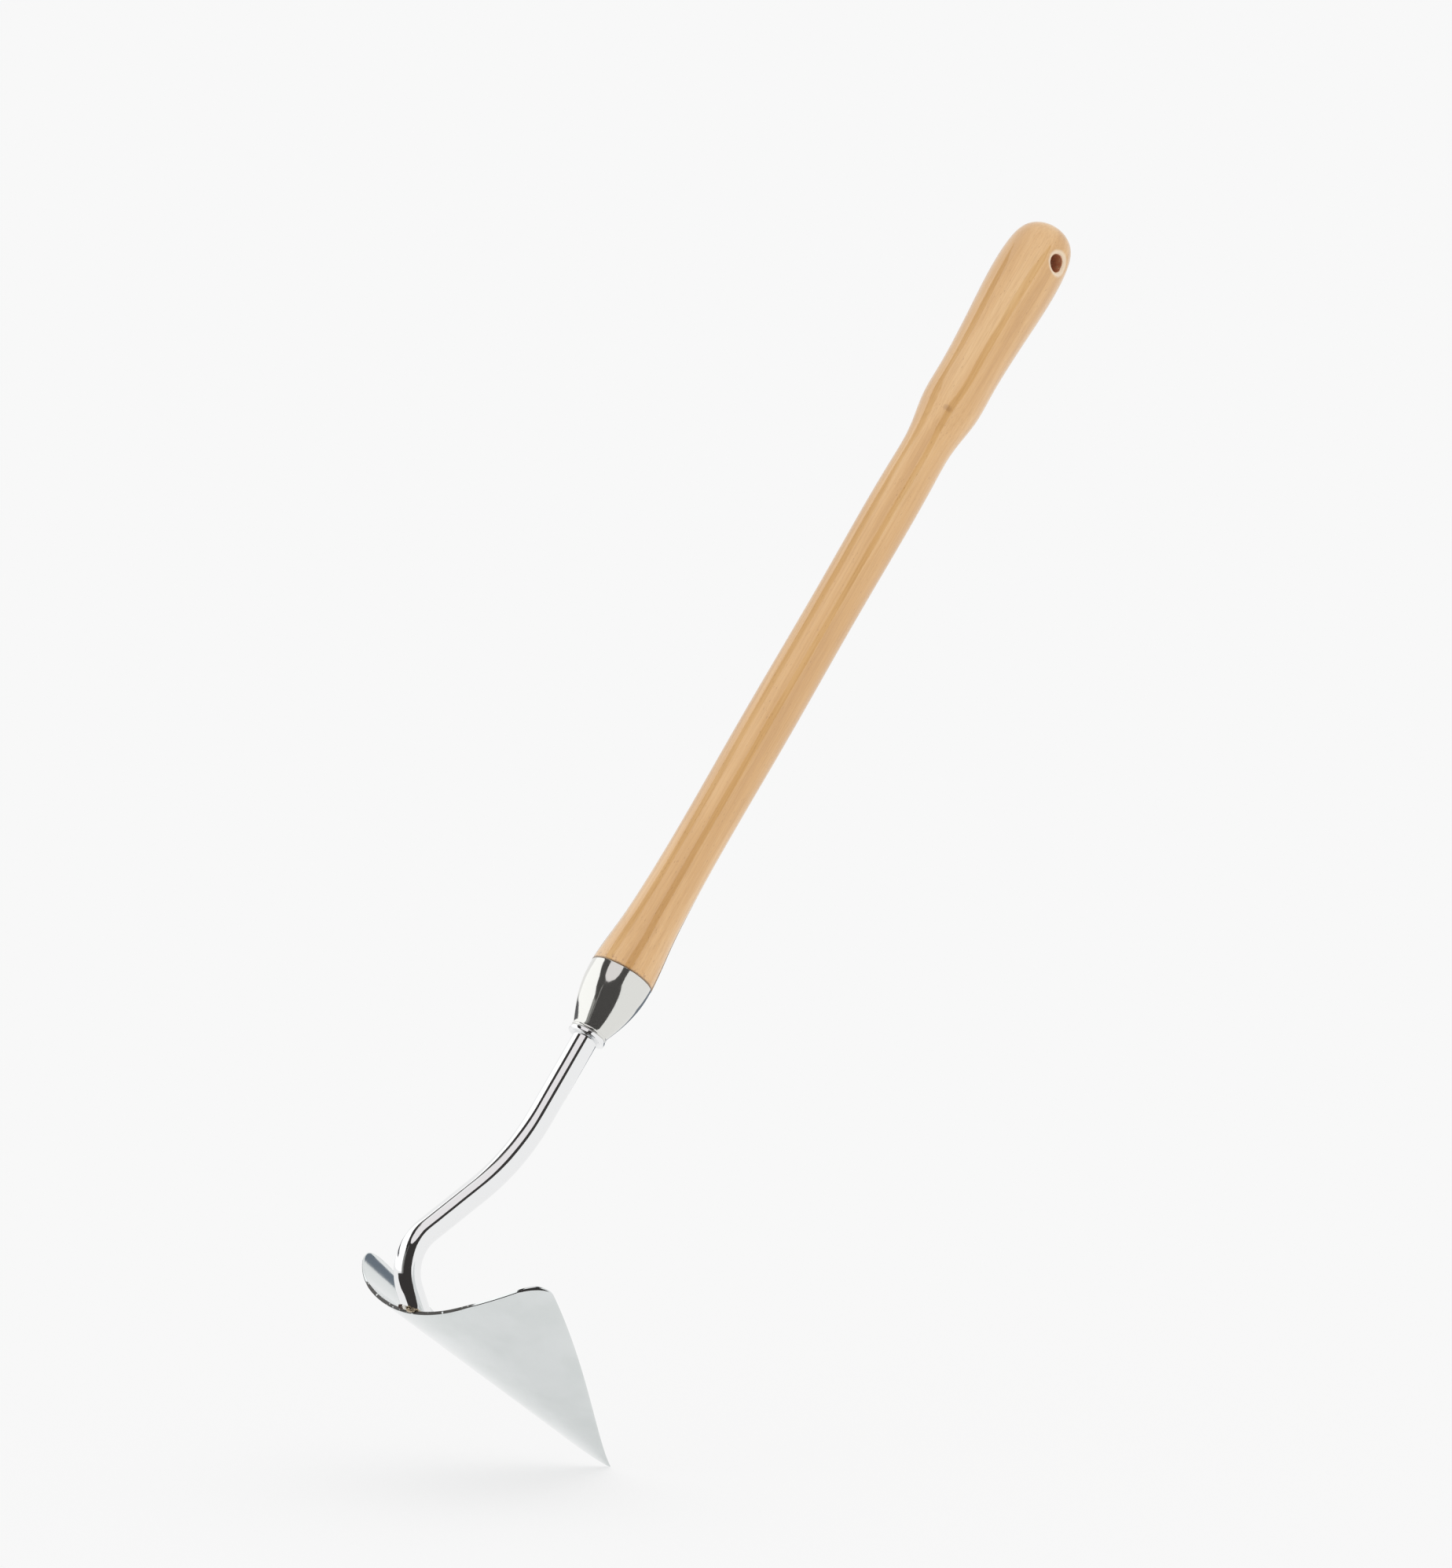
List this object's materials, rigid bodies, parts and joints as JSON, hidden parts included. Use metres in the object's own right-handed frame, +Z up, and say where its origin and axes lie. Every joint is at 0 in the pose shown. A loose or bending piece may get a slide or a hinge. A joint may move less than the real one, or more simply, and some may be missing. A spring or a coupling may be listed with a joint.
{
  "type": "draw hoe",
  "caption": "Rigid hand draw hoe: a dished, pointed steel blade welded to a swan-neck bar, a ferrule and a turned wooden handle with a hanging hole.",
  "frame": {"origin": "on the ground, under the middle of the tool's box, with the tool stood on the blade's point", "axes": "+Z up; the handle leans 36.25 degrees from +Z towards +X; the blade's symmetry plane is XZ, and the blade's point faces +X and down"},
  "size_m": [0.404, 0.1462, 0.6052],
  "materials": {
    "blade_plate": "bright plated steel plate, softly polished",
    "neck_bar": "mirror-bright plated steel bar",
    "weld_metal": "plated weld bead with brown stain in its valleys",
    "ferrule_shell": "mirror-bright spun and plated steel",
    "set_resin": "set resin",
    "handle_wood": "gloss varnished beech"
  },
  "bodies": {
    "root": {"blade": "blade_plate", "neck": "neck_bar", "neck_weld": "weld_metal", "stop_collar": "neck_bar", "ferrule": "ferrule_shell", "tang_resin": "set_resin", "handle": "handle_wood"}
  },
  "joints": []
}
